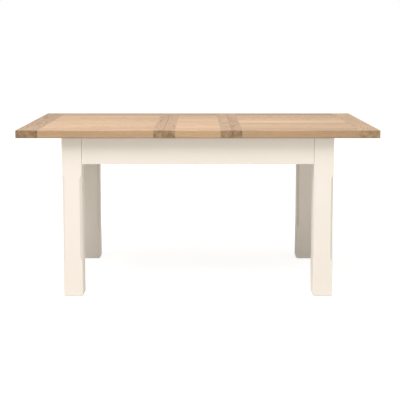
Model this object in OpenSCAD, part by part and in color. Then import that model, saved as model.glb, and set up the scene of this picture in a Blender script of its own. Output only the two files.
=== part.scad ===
// Extending dining table with a centre leaf: an oak top in two sliding halves on a painted frame.
// Millimetres. The origin is on the floor under the middle of the table, +X runs along the table,
// the front is -Y and +Z is up. The leaf is in place, as the table stands when it is extended.

/* [Top] */
// Height of the top surface above the floor
table_height = 780; // [700:5:900]
// Thickness of the top
top_thickness = 36; // [30:1:45]
// Depth of the top, front to back
top_depth = 850; // [750:10:1100]
// Length of each sliding half
half_length = 672; // [600:5:900]
// Length of the centre leaf
leaf_length = 305; // [250:5:400]
// Gap at each seam between the leaf and a half
seam_gap = 0.5; // [0.3:0.1:1.5]
// Number of boards across the depth
board_count = 10; // [8:2:14]
// Width of the clamp across the outer end of a half
end_clamp_width = 100; // [60:5:140]
// Width of the clamp across the seam end of a half
seam_clamp_width = 48; // [40:1:80]
// Width of each clamp across an end of the leaf
leaf_clamp_width = 50; // [40:1:80]
// Glue line between two boards
glue_line = 0.1; // [0.05:0.05:0.3]
// Rounding of the outer edges
edge_radius = 3; // [1:0.5:8]
// Rounding of the outer corners, seen from above
corner_radius = 6; // [2:1:20]
// Bevel along the top of each seam
seam_bevel = 0.8; // [0.2:0.1:2]

/* [Board joints] */
// Thickness of the tongue on the ends of the boards
tongue_thickness = 12; // [8:1:14]
// Length of that tongue
tongue_length = 14; // [8:1:25]
// Distance of the stopped tongue from the front and back edges
tongue_stop = 24; // [15:1:40]

/* [Frame] */
// Overhang of the closed top past the ends of the frame
end_overhang = 50; // [20:5:100]
// Overhang of the top past the front and back of the frame
side_overhang = 38; // [20:5:100]
// Width of the square legs
leg_width = 90; // [70:1:110]
// Height of the aprons
apron_height = 123; // [115:1:160]
// Thickness of the aprons
apron_thickness = 22; // [18:1:30]
// Distance of the aprons behind the faces of the legs
apron_setback = 3; // [1:0.5:8]
// Length of the apron tenons
tenon_length = 20; // [12:1:25]
// Thickness of the apron tenons
tenon_thickness = 10; // [8:1:14]
// Shoulder above and below each tenon
tenon_shoulder = 14; // [8:1:24]
// Gap behind each tenon for glue
tenon_gap = 1; // [0.5:0.5:3]

/* [Leg shaping] */
// Width of the stopped chamfers, measured on the faces of the leg
chamfer_width = 10; // [4:1:14]
// Height of the lower end of the chamfers
chamfer_bottom = 164; // [100:2:220]
// Length of square leg between the chamfers and the aprons
chamfer_shoulder = 47; // [20:1:90]
// Length of the run-out at each end of a chamfer
chamfer_runout = 20; // [10:1:40]
// Bevel around the foot of the leg
foot_bevel = 2.5; // [1:0.5:6]
// Bevel along the lower edges of the aprons
apron_bevel = 2; // [1:0.5:4]

/* [Slides] */
// Length that each half can be drawn out to free the leaf
free_travel = 20; // [10:1:30]
// Thickness of the guide rails
rail_thickness = 28; // [24:1:34]
// Height of the guide rails
rail_height = 45; // [40:1:50]
// Distance of the guide rails below the top of the frame
rail_drop = 2; // [1:0.5:6]
// Depth of the groove in a rail
groove_depth = 10; // [6:0.5:14]
// Height of the groove in a rail
groove_height = 14; // [10:0.5:18]
// Solid length of rail past each end of the groove
groove_stop = 15; // [10:1:30]
// Clearance of a slider in its rail, on each face
slide_clearance = 0.5; // [0.3:0.1:1]
// Thickness of the sliders
slider_thickness = 31.5; // [24:0.5:36]
// Distance from the seam to the end of a slider
slider_end_gap = 12; // [8:1:30]
// Thickness of the slide pads on the frame
pad_thickness = 1.7; // [1:0.1:3]
// Length of the slide pads
pad_length = 80; // [40:5:120]
// Width of the slide pads
pad_width = 14; // [8:1:18]
// Running clearance of the top over the pads and bearers
running_gap = 0.3; // [0.3:0.1:1]

/* [Battens and bearers] */
// Width of the battens under the halves
batten_width = 50; // [35:1:70]
// Thickness of the battens under the halves
batten_thickness = 22; // [18:1:28]
// Gap between the ends of a batten and the sliders
batten_end_gap = 10; // [5:1:30]
// Distance of the seam-end batten from the seam clamp
batten_inset = 15; // [5:1:60]
// Distance of the outer batten from the line of the legs
batten_leg_gap = 25; // [20:1:80]
// Width of the battens under the leaf
leaf_batten_width = 30; // [26:1:45]
// Width of the cross bearers
bearer_width = 40; // [30:1:60]
// Height of the cross bearers
bearer_height = 35; // [28:1:40]
// Depth of the housing for each end of a bearer
bearer_housing = 8; // [4:1:12]

/* [Pegs and fastenings] */
// Diameter of the pegs that locate the leaf
peg_diameter = 12; // [8:1:16]
// Length of a peg below the leaf battens
peg_drop = 24; // [15:1:27]
// Length of a peg inside the leaf battens
peg_seat = 25; // [15:1:35]
// Distance of the pegs from the middle of the leaf
peg_offset = 180; // [160:5:230]
// Radial clearance of a peg in its hole
peg_clearance = 0.3; // [0.3:0.1:1]
// Diameter of the wood screws
screw_diameter = 4.5; // [3.5:0.5:5]
// Diameter of the screw heads
screw_head = 9; // [7:0.5:9.5]
// Thickness of the screw heads
screw_head_height = 3; // [2:0.5:4]
// Length of the wood screws under the head
screw_length = 30; // [26:1:32]
// Length of the long screws through the sliders
slider_screw_length = 45; // [40:1:48]
// Radial gap around fastenings and glued pegs
fastening_gap = 0.05; // [0.02:0.01:0.2]

/* [Corner blocks] */
// Thickness of the corner blocks
block_thickness = 30; // [22:1:40]
// Height of the corner blocks
block_height = 50; // [36:1:55]
// Height of the blocks above the lower edge of the aprons
block_lift = 12; // [5:1:18]
// Depth of the flat on the inner corner of the leg, where the block bears
block_flat = 8; // [5:1:12]
// Distance of a block screw seat from the apron
block_screw_seat = 18; // [12:1:18]
// Diameter of the hanger bolts
bolt_diameter = 8; // [6:1:10]
// Length of a hanger bolt inside the leg
bolt_in_leg = 45; // [30:1:60]
// Length of a hanger bolt past the block
bolt_tail = 14; // [12:1:25]
// Thickness of the washers
washer_thickness = 2; // [1.5:0.5:3]
// Thickness of the nuts
nut_thickness = 6.5; // [5:0.5:8]

/* [Foot glides] */
// Thickness of the foot glides
glide_thickness = 3; // [2:0.5:6]
// Diameter of the foot glides
glide_diameter = 30; // [20:1:50]
// Diameter of the nail of a glide
glide_nail = 3; // [2:0.5:4]
// Length of the nail of a glide
glide_nail_length = 16; // [10:1:25]

/* [Hidden] */
$fn = 48;
oak = "burlywood";
clamp_oak = "tan";
cream = "antiquewhite";
beech = "wheat";
steel = "silver";
nylon = "dimgray";

// Levels
under_top = table_height - top_thickness;
frame_top = under_top - running_gap - pad_thickness;
apron_bottom = frame_top - apron_height;
chamfer_top = apron_bottom - chamfer_shoulder;
rail_top = frame_top - rail_drop;
rail_bottom = rail_top - rail_height;
groove_middle = rail_bottom + rail_height / 2;
bearer_bottom = rail_bottom - bearer_height;
block_bottom = apron_bottom + block_lift;
block_middle = block_bottom + block_height / 2;
slider_bottom = rail_bottom + slide_clearance;
leaf_batten_bottom = rail_bottom + running_gap;

// Plan of the frame, in the quarter where X and Y are positive
frame_x = half_length - end_overhang;
frame_y = top_depth / 2 - side_overhang;
leg_x = frame_x - leg_width;
leg_y = frame_y - leg_width;
apron_out_x = frame_x - apron_setback;
apron_out_y = frame_y - apron_setback;
apron_in_x = apron_out_x - apron_thickness;
apron_in_y = apron_out_y - apron_thickness;
tenon_x = apron_out_x - apron_thickness / 2;
tenon_y = apron_out_y - apron_thickness / 2;
rail_in_y = apron_in_y - rail_thickness;
slider_out_y = rail_in_y - slide_clearance;
slider_in_y = slider_out_y - slider_thickness;
slider_middle_y = slider_out_y - slider_thickness / 2;

// Plan of the top
seam_x = leaf_length / 2 + seam_gap;
end_x = seam_x + half_length;
board_width = top_depth / board_count;
slider_start = seam_x + slider_end_gap;
slider_end = leg_x - free_travel - groove_stop;
batten_half = slider_in_y - batten_end_gap;
batten_x = [
    seam_x + seam_clamp_width + batten_inset + batten_width / 2,
    leg_x - batten_leg_gap - batten_width / 2
];
leaf_batten_x = leaf_length / 2 - leaf_clamp_width - leaf_batten_width / 2;
slider_screw_x = [slider_start + 20, (slider_start + slider_end) / 2, slider_end - 20];
slider_screw_seat = slider_bottom + 24;
batten_rows = floor((batten_half - 15) / board_width + 0.5);
batten_screw_y = [for (i = [1:batten_rows], s = [-1, 1]) s * (i - 0.5) * board_width];
leaf_screw_y = [for (y = batten_screw_y) if (abs(y) < peg_offset - peg_diameter) y];
leaf_screw_seat = under_top - 20;
batten_screw_seat = under_top - batten_thickness + screw_head_height;
rail_screw_x = [for (i = [-2:2]) i * 0.45 * leg_x];
rail_screw_seat = rail_in_y + groove_depth + screw_head_height + 0.5;

// Corner blocks lie across the diagonal. A diagonal line is the sum of X and Y along it.
block_out_sum = leg_x + leg_y + block_flat * sqrt(2);
block_in_sum = block_out_sum - block_thickness * sqrt(2);
block_foot_x = (block_in_sum + block_out_sum) / 2 - apron_in_y;
block_foot_y = (block_in_sum + block_out_sum) / 2 - apron_in_x;

// ---- Shared shapes ----

// Places the positive quarter in any quarter of the plan.
module quarter(side_x, side_y) {
    mirror([side_x < 0 ? 1 : 0, 0, 0])
        mirror([0, side_y < 0 ? 1 : 0, 0])
            children();
}

module every_quarter() {
    for (side_x = [-1, 1], side_y = [-1, 1])
        quarter(side_x, side_y) children();
}

// A box from its lowest and highest corners.
module block(low, high) {
    translate(low) cube(high - low);
}

// An outline of X and Z carried along Y, or of Y and Z carried along X.
module along_y(from, to) {
    translate([0, to, 0]) rotate([90, 0, 0]) linear_extrude(height = to - from) children();
}

module along_x(from, to) {
    translate([from, 0, 0]) rotate([90, 0, 90]) linear_extrude(height = to - from) children();
}

function arc(x, y, radius, start) =
    [for (i = [0:5]) [x + radius * cos(start + 18 * i), y + radius * sin(start + 18 * i)]];

// A pan-head wood screw that points along +Z, with the underside of its head at z = 0.
module screw(length, gap = 0) {
    translate([0, 0, -screw_head_height - gap])
        cylinder(d = screw_head + 2 * gap, h = screw_head_height + gap);
    cylinder(d = screw_diameter + 2 * gap, h = length + gap);
}

// The hole for that screw, open for some distance behind its head.
module screw_hole(length, back) {
    screw(length, fastening_gap);
    translate([0, 0, -back])
        cylinder(d = screw_head + 1, h = back - screw_head_height);
}

// ---- Frame ----

// Cuts a chamfer on a corner that faces along the angle, with a sloping run-out at both ends.
module stopped_chamfer(x, y, angle) {
    depth = chamfer_width / sqrt(2);
    past = 5;
    rise = past * chamfer_runout / depth;
    translate([x, y, 0])
        rotate([0, 0, angle])
            along_y(-chamfer_width, chamfer_width)
                polygon([
                    [past, chamfer_bottom - rise],
                    [past, chamfer_top + rise],
                    [-depth, chamfer_top - chamfer_runout],
                    [-depth, chamfer_bottom + chamfer_runout]
                ]);
}

// The side view of a leg, from the glide to the top, with the foot bevelled.
module leg_outline(from, to) {
    polygon([
        [from + foot_bevel, glide_thickness],
        [to - foot_bevel, glide_thickness],
        [to, glide_thickness + foot_bevel],
        [to, frame_top],
        [from, frame_top],
        [from, glide_thickness + foot_bevel]
    ]);
}

module leg() {
    low = apron_bottom + tenon_shoulder;
    high = frame_top - tenon_shoulder;
    mortice = tenon_length + tenon_gap;
    half = tenon_thickness / 2;
    color(cream)
    difference() {
        intersection() {
            along_y(leg_y, frame_y) leg_outline(leg_x, frame_x);
            along_x(leg_x, frame_x) leg_outline(leg_y, frame_y);
        }
        stopped_chamfer(frame_x, frame_y, 45);
        stopped_chamfer(leg_x, frame_y, 135);
        stopped_chamfer(leg_x, leg_y, 225);
        stopped_chamfer(frame_x, leg_y, 315);
        translate([leg_x, leg_y, apron_bottom])
            rotate([0, 0, 45])
                block([-20, -20, 0], [block_flat, 20, apron_height + 1]);
        block([leg_x - 1, tenon_y - half, low], [leg_x + mortice, tenon_y + half, high]);
        block([tenon_x - half, leg_y - 1, low], [tenon_x + half, leg_y + mortice, high]);
        bolt_axis() cylinder(d = bolt_diameter + 2 * fastening_gap, h = bolt_in_leg + fastening_gap);
        translate([leg_x + leg_width / 2, leg_y + leg_width / 2, 0])
            cylinder(d = glide_nail + 2 * fastening_gap, h = glide_thickness + glide_nail_length);
    }
}

// The line of a hanger bolt: z = 0 on the flat of the leg, pointing into the leg.
module bolt_axis() {
    inset = block_flat / sqrt(2);
    translate([leg_x + inset, leg_y + inset, block_middle])
        rotate([0, 90, 45])
            children();
}

// Screws through a corner block into both aprons. Their heads lie at block_screw_seat from the apron.
module block_screw_axes() {
    translate([block_foot_x, apron_in_y - block_screw_seat, block_middle])
        rotate([-90, 0, 0]) children();
    translate([apron_in_x - block_screw_seat, block_foot_y, block_middle])
        rotate([0, 90, 0]) children();
}

module rail_screw_axes() {
    for (x = rail_screw_x)
        translate([x, rail_screw_seat, groove_middle])
            rotate([-90, 0, 0]) children();
}

// The end view of an apron from its outer face to its inner face, bevelled below.
module apron_outline(inner, outer) {
    polygon([
        [inner + apron_bevel, apron_bottom],
        [outer - apron_bevel, apron_bottom],
        [outer, apron_bottom + apron_bevel],
        [outer, frame_top],
        [inner, frame_top],
        [inner, apron_bottom + apron_bevel]
    ]);
}

module long_apron() {
    tip = leg_x + tenon_length;
    half = tenon_thickness / 2;
    color(cream)
    difference() {
        union() {
            along_x(-leg_x, leg_x) apron_outline(apron_in_y, apron_out_y);
            block([-tip, tenon_y - half, apron_bottom + tenon_shoulder],
                  [tip, tenon_y + half, frame_top - tenon_shoulder]);
        }
        for (side = [-1, 1]) {
            translate([side * leaf_batten_x, 0, 0])
                block([-bearer_width / 2, 0, bearer_bottom],
                      [bearer_width / 2, apron_in_y + bearer_housing, rail_bottom]);
            quarter(side, 1) block_screw_axes() screw(screw_length, fastening_gap);
        }
        rail_screw_axes() screw(screw_length, fastening_gap);
    }
}

module end_apron() {
    tip = leg_y + tenon_length;
    half = tenon_thickness / 2;
    color(cream)
    difference() {
        union() {
            along_y(-leg_y, leg_y) apron_outline(apron_in_x, apron_out_x);
            block([tenon_x - half, -tip, apron_bottom + tenon_shoulder],
                  [tenon_x + half, tip, frame_top - tenon_shoulder]);
        }
        for (side = [-1, 1])
            quarter(1, side) block_screw_axes() screw(screw_length, fastening_gap);
    }
}

module corner_block() {
    color(beech)
    difference() {
        translate([0, 0, block_bottom])
            linear_extrude(height = block_height)
                polygon([
                    [block_in_sum - apron_in_y, apron_in_y],
                    [block_out_sum - apron_in_y, apron_in_y],
                    [apron_in_x, block_out_sum - apron_in_x],
                    [apron_in_x, block_in_sum - apron_in_x]
                ]);
        bolt_axis()
            translate([0, 0, -block_thickness - 10])
                cylinder(d = bolt_diameter + 1, h = block_thickness + 20);
        block_screw_axes() screw_hole(screw_length, 30);
    }
}

module hanger_bolts() {
    length = bolt_in_leg + block_thickness + bolt_tail;
    color(steel)
    every_quarter()
        bolt_axis()
            translate([0, 0, bolt_in_leg - length])
                cylinder(d = bolt_diameter, h = length);
}

module bolt_washers() {
    color(steel)
    every_quarter()
        bolt_axis()
            translate([0, 0, -block_thickness - washer_thickness])
                difference() {
                    cylinder(d = bolt_diameter * 3, h = washer_thickness);
                    translate([0, 0, -1])
                        cylinder(d = bolt_diameter + 0.4, h = washer_thickness + 2);
                }
}

module bolt_nuts() {
    color(steel)
    every_quarter()
        bolt_axis()
            translate([0, 0, -block_thickness - washer_thickness - nut_thickness])
                difference() {
                    cylinder(d = bolt_diameter * 1.9, h = nut_thickness, $fn = 6);
                    translate([0, 0, -1])
                        cylinder(d = bolt_diameter + 2 * fastening_gap, h = nut_thickness + 2);
                }
}

module block_screws() {
    color(steel) every_quarter() block_screw_axes() screw(screw_length);
}

// A grooved rail on the inner face of a long apron. The groove stops short of the legs.
module guide_rail() {
    groove_end = leg_x - groove_stop + running_gap;
    color(beech)
    difference() {
        block([-leg_x, rail_in_y, rail_bottom], [leg_x, apron_in_y, rail_top]);
        block([-groove_end, rail_in_y - 1, groove_middle - groove_height / 2],
              [groove_end, rail_in_y + groove_depth, groove_middle + groove_height / 2]);
        rail_screw_axes() screw_hole(screw_length, 10);
    }
}

module guide_rail_screws() {
    color(steel)
    for (side = [-1, 1])
        quarter(1, side) rail_screw_axes() screw(screw_length);
}

// A bearer that ties the long aprons together and carries the leaf. Its holes take the leaf's pegs.
module cross_bearer() {
    length = apron_in_y + bearer_housing;
    color(beech)
    difference() {
        block([leaf_batten_x - bearer_width / 2, -length, bearer_bottom],
              [leaf_batten_x + bearer_width / 2, length, rail_bottom]);
        for (side = [-1, 1])
            translate([leaf_batten_x, side * peg_offset, bearer_bottom - 1])
                cylinder(d = peg_diameter + 2 * peg_clearance, h = bearer_height + 2);
    }
}

// Pads that the top runs on, along the upper edges of the aprons.
module slide_pads() {
    color(nylon)
    for (side = [-1, 1]) {
        for (x = [-0.84, -0.55, 0, 0.55, 0.84] * leg_x)
            translate([x, side * tenon_y, frame_top + pad_thickness / 2])
                cube([pad_length, pad_width, pad_thickness], center = true);
        for (y = [-0.5, 0.5] * leg_y)
            translate([side * tenon_x, y, frame_top + pad_thickness / 2])
                cube([pad_width, pad_length, pad_thickness], center = true);
    }
}

module foot_glides() {
    color(nylon)
    every_quarter()
        translate([leg_x + leg_width / 2, leg_y + leg_width / 2, 0]) {
            cylinder(d = glide_diameter, h = glide_thickness);
            cylinder(d = glide_nail, h = glide_thickness + glide_nail_length);
        }
}

// ---- Top ----

// The outline of the top's thickness, rounded front and back.
module edge_outline() {
    y = top_depth / 2 - edge_radius;
    low = under_top + edge_radius;
    high = table_height - edge_radius;
    polygon(concat(
        arc(y, high, edge_radius, 0), arc(-y, high, edge_radius, 90),
        arc(-y, low, edge_radius, 180), arc(y, low, edge_radius, 270)
    ));
}

// A half as one slab: square with a fine bevel at the seam, and rounded at the outer end.
module half_slab() {
    x = end_x - edge_radius;
    low = under_top + edge_radius;
    high = table_height - edge_radius;
    plan_x = end_x - corner_radius;
    plan_y = top_depth / 2 - corner_radius;
    intersection() {
        along_x(seam_x, end_x) edge_outline();
        along_y(-top_depth / 2, top_depth / 2)
            polygon(concat(
                [[seam_x, under_top]],
                arc(x, low, edge_radius, 270), arc(x, high, edge_radius, 0),
                [[seam_x + seam_bevel, table_height], [seam_x, table_height - seam_bevel]]
            ));
        translate([0, 0, under_top - 1])
            linear_extrude(height = top_thickness + 2)
                polygon(concat(
                    [[seam_x - 1, top_depth / 2 + 1], [seam_x - 1, -top_depth / 2 - 1],
                     [plan_x, -top_depth / 2 - 1]],
                    arc(plan_x, -plan_y, corner_radius, 270),
                    arc(plan_x, plan_y, corner_radius, 0),
                    [[plan_x, top_depth / 2 + 1]]
                ));
    }
}

module leaf_slab() {
    x = leaf_length / 2;
    intersection() {
        along_x(-x, x) edge_outline();
        along_y(-top_depth / 2, top_depth / 2)
            polygon([
                [-x, under_top], [x, under_top],
                [x, table_height - seam_bevel], [x - seam_bevel, table_height],
                [-x + seam_bevel, table_height], [-x, table_height - seam_bevel]
            ]);
    }
}

// The full stretch of the boards' tongues between two clamps, stopped short of both edges.
module tongue(from, to, extra = 0) {
    middle = under_top + top_thickness / 2;
    y = top_depth / 2 - tongue_stop;
    block([from - extra, -y - extra, middle - tongue_thickness / 2],
          [to + extra, y + extra, middle + tongue_thickness / 2]);
}

// Boards side by side between two clamps, each a solid of its own with a tongue at both ends.
// The first child is the slab that they fill, and the second is what is drilled out of them.
module boards(from, to) {
    color(oak)
    for (i = [0:board_count - 1]) {
        front = -top_depth / 2 + i * board_width + (i > 0 ? glue_line / 2 : 0);
        back = -top_depth / 2 + (i + 1) * board_width - (i < board_count - 1 ? glue_line / 2 : 0);
        difference() {
            intersection() {
                children(0);
                union() {
                    block([from, front, under_top], [to, back, table_height]);
                    intersection() {
                        tongue(from - tongue_length, to + tongue_length);
                        block([from - tongue_length, front, under_top],
                              [to + tongue_length, back, table_height]);
                    }
                }
            }
            intersection() {
                children(1);
                block([from - tongue_length, front, under_top - 1],
                      [to + tongue_length, back, table_height]);
            }
        }
    }
}

// A clamp across the ends of the boards, with the groove for their tongues.
module clamp(from, to, board_from, board_to) {
    color(clamp_oak)
    difference() {
        intersection() {
            children(0);
            block([from, -top_depth / 2, under_top], [to, top_depth / 2, table_height]);
        }
        tongue(board_from - tongue_length, board_to + tongue_length, tenon_gap);
        children(1);
    }
}

module slider_screw_axes() {
    for (x = slider_screw_x, side = [-1, 1])
        translate([x, side * slider_middle_y, slider_screw_seat]) children();
}

module batten_screw_axes() {
    for (x = batten_x, y = batten_screw_y)
        translate([x, y, batten_screw_seat]) children();
}

module half_drilling() {
    slider_screw_axes() screw(slider_screw_length, fastening_gap);
    batten_screw_axes() screw(screw_length, fastening_gap);
}

module half_boards() {
    boards(seam_x + seam_clamp_width, end_x - end_clamp_width) {
        half_slab();
        half_drilling();
    }
}

module half_end_clamp() {
    clamp(end_x - end_clamp_width, end_x, seam_x + seam_clamp_width, end_x - end_clamp_width) {
        half_slab();
        half_drilling();
    }
}

module half_seam_clamp() {
    clamp(seam_x, seam_x + seam_clamp_width, seam_x + seam_clamp_width, end_x - end_clamp_width) {
        half_slab();
        half_drilling();
    }
}

// A slider hangs under the half beside its rail, and its tongue runs in the rail's groove.
module slider() {
    tongue_half = groove_height / 2 - slide_clearance;
    color(beech)
    difference() {
        union() {
            block([slider_start, slider_in_y, slider_bottom], [slider_end, slider_out_y, under_top]);
            block([slider_start, slider_in_y, groove_middle - tongue_half],
                  [slider_end, rail_in_y + groove_depth - slide_clearance, groove_middle + tongue_half]);
        }
        slider_screw_axes() screw_hole(slider_screw_length, 30);
    }
}

module slider_screws() {
    color(steel) slider_screw_axes() screw(slider_screw_length);
}

module half_batten(x) {
    color(beech)
    difference() {
        block([x - batten_width / 2, -batten_half, under_top - batten_thickness],
              [x + batten_width / 2, batten_half, under_top]);
        batten_screw_axes() screw_hole(screw_length, 10);
    }
}

module batten_screws() {
    color(steel) batten_screw_axes() screw(screw_length);
}

// ---- Leaf ----

module leaf_screw_axes() {
    for (side = [-1, 1], y = leaf_screw_y)
        translate([side * leaf_batten_x, y, leaf_screw_seat]) children();
}

module leaf_peg_axes() {
    for (side_x = [-1, 1], side_y = [-1, 1])
        translate([side_x * leaf_batten_x, side_y * peg_offset, leaf_batten_bottom]) children();
}

module leaf_boards() {
    x = leaf_length / 2 - leaf_clamp_width;
    boards(-x, x) {
        leaf_slab();
        leaf_screw_axes() screw(screw_length, fastening_gap);
    }
}

module leaf_clamp() {
    x = leaf_length / 2 - leaf_clamp_width;
    clamp(x, leaf_length / 2, -x, x) {
        leaf_slab();
        leaf_screw_axes() screw(screw_length, fastening_gap);
    }
}

module leaf_batten() {
    color(beech)
    difference() {
        block([leaf_batten_x - leaf_batten_width / 2, -batten_half, leaf_batten_bottom],
              [leaf_batten_x + leaf_batten_width / 2, batten_half, under_top]);
        leaf_screw_axes() screw_hole(screw_length, leaf_screw_seat - leaf_batten_bottom + 1);
        leaf_peg_axes()
            translate([0, 0, -1])
                cylinder(d = peg_diameter + 2 * fastening_gap, h = peg_seat + 1 + fastening_gap);
    }
}

module leaf_batten_screws() {
    color(steel) leaf_screw_axes() screw(screw_length);
}

// Round pegs with a tapered tip.
module leaf_pegs() {
    tip = peg_diameter / 4;
    color(beech)
    leaf_peg_axes() {
        translate([0, 0, tip - peg_drop])
            cylinder(d = peg_diameter, h = peg_drop + peg_seat - tip);
        translate([0, 0, -peg_drop])
            cylinder(d1 = peg_diameter - 2 * tip, d2 = peg_diameter, h = tip);
    }
}

// ---- Nodes ----

quarter(-1, -1) leg();  // leg_front_left
quarter(1, -1) leg();  // leg_front_right
quarter(-1, 1) leg();  // leg_back_left
quarter(1, 1) leg();  // leg_back_right
quarter(1, -1) long_apron();  // apron_front
quarter(1, 1) long_apron();  // apron_back
quarter(-1, 1) end_apron();  // apron_left
quarter(1, 1) end_apron();  // apron_right
quarter(-1, -1) corner_block();  // corner_block_front_left
quarter(1, -1) corner_block();  // corner_block_front_right
quarter(-1, 1) corner_block();  // corner_block_back_left
quarter(1, 1) corner_block();  // corner_block_back_right
hanger_bolts();
bolt_washers();
bolt_nuts();
block_screws();
quarter(1, -1) guide_rail();  // guide_rail_front
quarter(1, 1) guide_rail();  // guide_rail_back
guide_rail_screws();
quarter(-1, 1) cross_bearer();  // cross_bearer_left
quarter(1, 1) cross_bearer();  // cross_bearer_right
slide_pads();
foot_glides();
quarter(-1, 1) half_boards();  // left_boards
quarter(-1, 1) half_end_clamp();  // left_end_clamp
quarter(-1, 1) half_seam_clamp();  // left_seam_clamp
quarter(-1, -1) slider();  // left_slider_front
quarter(-1, 1) slider();  // left_slider_back
quarter(-1, 1) slider_screws();  // left_slider_screws
quarter(-1, 1) half_batten(batten_x[0]);  // left_seam_batten
quarter(-1, 1) half_batten(batten_x[1]);  // left_outer_batten
quarter(-1, 1) batten_screws();  // left_batten_screws
quarter(1, 1) half_boards();  // right_boards
quarter(1, 1) half_end_clamp();  // right_end_clamp
quarter(1, 1) half_seam_clamp();  // right_seam_clamp
quarter(1, -1) slider();  // right_slider_front
quarter(1, 1) slider();  // right_slider_back
quarter(1, 1) slider_screws();  // right_slider_screws
quarter(1, 1) half_batten(batten_x[0]);  // right_seam_batten
quarter(1, 1) half_batten(batten_x[1]);  // right_outer_batten
quarter(1, 1) batten_screws();  // right_batten_screws
leaf_boards();
quarter(-1, 1) leaf_clamp();  // leaf_left_clamp
quarter(1, 1) leaf_clamp();  // leaf_right_clamp
quarter(-1, 1) leaf_batten();  // leaf_left_batten
quarter(1, 1) leaf_batten();  // leaf_right_batten
leaf_batten_screws();
leaf_pegs();
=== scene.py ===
"""An extending dining table: a pale oak top in two sliding halves, with a centre leaf between them,
on a cream painted frame.

Metres, in the frame's own axes: +X along the table, the front at -Y, +Z up.
"""

import math

import bmesh
import bpy
import numpy as np
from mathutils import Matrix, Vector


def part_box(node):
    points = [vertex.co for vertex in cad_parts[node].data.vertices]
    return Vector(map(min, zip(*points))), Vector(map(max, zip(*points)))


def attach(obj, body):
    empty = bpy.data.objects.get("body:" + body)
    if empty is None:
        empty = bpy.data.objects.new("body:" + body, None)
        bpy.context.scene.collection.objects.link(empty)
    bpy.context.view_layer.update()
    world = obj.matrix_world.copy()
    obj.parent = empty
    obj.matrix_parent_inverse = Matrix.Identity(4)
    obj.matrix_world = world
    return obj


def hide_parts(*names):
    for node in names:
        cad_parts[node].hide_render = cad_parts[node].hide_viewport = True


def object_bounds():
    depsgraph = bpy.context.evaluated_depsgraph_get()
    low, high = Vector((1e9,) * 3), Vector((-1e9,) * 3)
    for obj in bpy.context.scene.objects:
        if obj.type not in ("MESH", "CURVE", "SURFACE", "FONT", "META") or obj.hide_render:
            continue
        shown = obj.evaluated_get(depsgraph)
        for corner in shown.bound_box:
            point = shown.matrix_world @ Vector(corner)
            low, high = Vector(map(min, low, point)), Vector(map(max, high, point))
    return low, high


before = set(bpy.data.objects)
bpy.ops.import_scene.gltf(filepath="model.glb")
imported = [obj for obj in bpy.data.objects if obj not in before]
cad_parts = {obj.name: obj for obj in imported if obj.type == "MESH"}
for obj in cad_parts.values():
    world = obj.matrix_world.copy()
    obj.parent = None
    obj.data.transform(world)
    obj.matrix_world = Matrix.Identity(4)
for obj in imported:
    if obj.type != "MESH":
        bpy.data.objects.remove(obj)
cad_box = [list(corner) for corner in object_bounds()]
cad = {name: [np.array(corner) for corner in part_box(name)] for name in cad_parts}
table_low, table_high = np.array(cad_box[0]), np.array(cad_box[1])


# ---- Camera ----
# A long lens a good four metres in front of the table, at about the eye height of someone seated.
# It tips down slightly, and is shifted so that the table lies in the middle of the picture.

CAMERA_PLACE = (0.0098, -4.3334, 1.2114)
CAMERA_TIP = math.radians(5.5)
CAMERA_LENS = 78.47
CAMERA_SHIFT = -0.2046

camera_data = bpy.data.cameras.new("camera")
camera_data.lens = CAMERA_LENS
camera_data.sensor_width = 36.0
camera_data.shift_y = CAMERA_SHIFT
camera_data.clip_end = 60.0
camera = bpy.data.objects.new("camera", camera_data)
camera.location = CAMERA_PLACE
camera.rotation_euler = (math.pi / 2 - CAMERA_TIP, 0.0, 0.0)
bpy.context.collection.objects.link(camera)
bpy.context.scene.camera = camera


# ---- Oak boards ----
# Ten planks make each panel of the top. They are sawn oak, 36 mm thick, planed and sanded, with a
# tongue on both ends that sits in the clamps. The outer edges of the top are rounded over.

OUTER_ROUND = 0.003
JOINT_ROUND = 0.0005
TONGUE_ROUND = 0.0002
ARC_STEPS = 5
SAME_PLACE = 0.000002
CREASE = math.radians(35)


def rectangle_loop(low, high, radii):
    """A rectangle with rounded corners, as one closed loop of 2D points.

    Each corner is a quarter circle of ARC_STEPS chords about a centre that lies its own radius in
    from both sides. radii go round from the corner at high, high to the one at high, low.
    """
    quarter = np.linspace(0.0, math.pi / 2, ARC_STEPS + 1)
    towards = np.array([(1, 1), (-1, 1), (-1, -1), (1, -1)])
    corner = np.where(towards > 0, high, low)
    centre = corner - towards * np.reshape(radii, (4, 1))
    angle = quarter[None, :] + np.arange(4)[:, None] * math.pi / 2
    arc = np.stack([np.cos(angle), np.sin(angle)], axis=-1) * np.reshape(radii, (4, 1, 1))
    return (centre[:, None, :] + arc).reshape(-1, 2)


def carried(loop, axis, at):
    """A 2D loop set at one place along an axis: the other two axes take its two coordinates in order."""
    across = [k for k in range(3) if k != axis]
    points = np.empty((len(loop), 3))
    points[:, axis] = at
    points[:, across] = loop
    return points


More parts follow.
